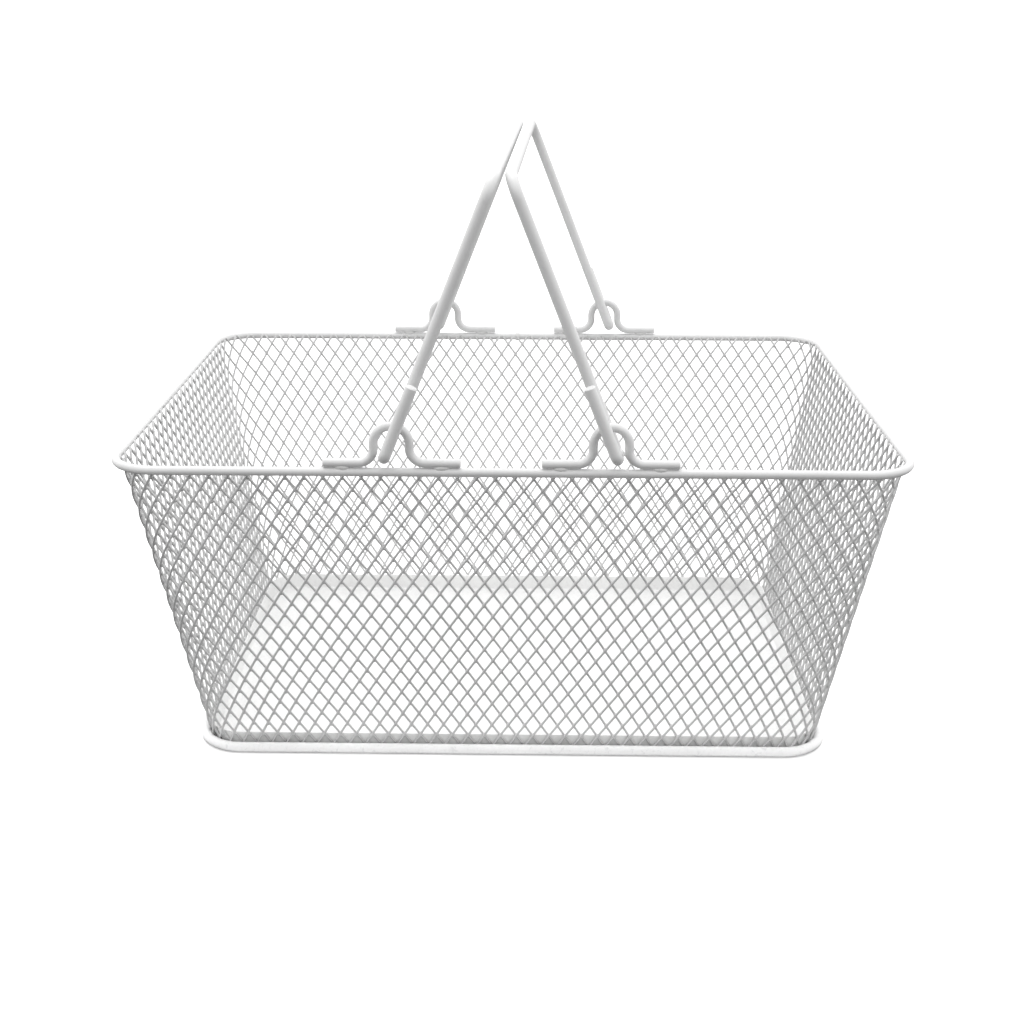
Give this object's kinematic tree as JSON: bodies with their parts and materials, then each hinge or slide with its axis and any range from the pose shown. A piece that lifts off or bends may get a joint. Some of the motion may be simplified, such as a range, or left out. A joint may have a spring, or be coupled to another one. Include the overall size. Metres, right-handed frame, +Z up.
{
  "type": "shopping basket",
  "caption": "Open-top tapered wire mesh hand basket with a round-wire rim, a sheet floor and two bail handles that fold out sideways.",
  "frame": {"origin": "centre of the foot, on the surface that the basket stands on", "axes": "+Z up, +X along the basket's length, +Y across its width; the two handles pivot about lines along Y, turned 1.9 degrees about Z"},
  "size_m": [0.43, 0.3266, 0.3368],
  "materials": {
    "wire_coat": "gloss white powder coat on steel wire",
    "mesh_coat": "gloss white powder coat on fine mesh strands",
    "weld_coat": "gloss white powder coat over weld metal",
    "pan_coat": "gloss white powder coat on pressed sheet steel",
    "handle_coat": "gloss white powder coat on bent steel rod"
  },
  "bodies": {
    "basket": {"rim_wire": "wire_coat", "base_ring": "wire_coat", "front_left_loop": "wire_coat", "front_right_loop": "wire_coat", "back_left_loop": "wire_coat", "back_right_loop": "wire_coat", "front_mesh": "mesh_coat", "back_mesh": "mesh_coat", "left_mesh": "mesh_coat", "right_mesh": "mesh_coat", "back_right_corner_mesh": "mesh_coat", "back_left_corner_mesh": "mesh_coat", "front_left_corner_mesh": "mesh_coat", "front_right_corner_mesh": "mesh_coat", "rim_butt_weld": "weld_coat", "base_ring_butt_weld": "weld_coat", "front_left_loop_welds": "weld_coat", "front_right_loop_welds": "weld_coat", "back_left_loop_welds": "weld_coat", "back_right_loop_welds": "weld_coat", "floor_pan": "pan_coat"},
    "left_handle": {"left_handle": "handle_coat"},
    "right_handle": {"right_handle": "handle_coat"}
  },
  "joints": [
    {"name": "left_handle_fold", "type": "hinge", "parent": "basket", "child": "left_handle", "pos_m": [-0.0604, 0, 0.1925], "axis": [-0.0328, -0.9995, 0], "range_deg": [0, 112.5]},
    {"name": "right_handle_fold", "type": "hinge", "parent": "basket", "child": "right_handle", "pos_m": [0.0604, 0, 0.1925], "axis": [0.0328, 0.9995, 0], "range_deg": [0, 112.5]}
  ]
}
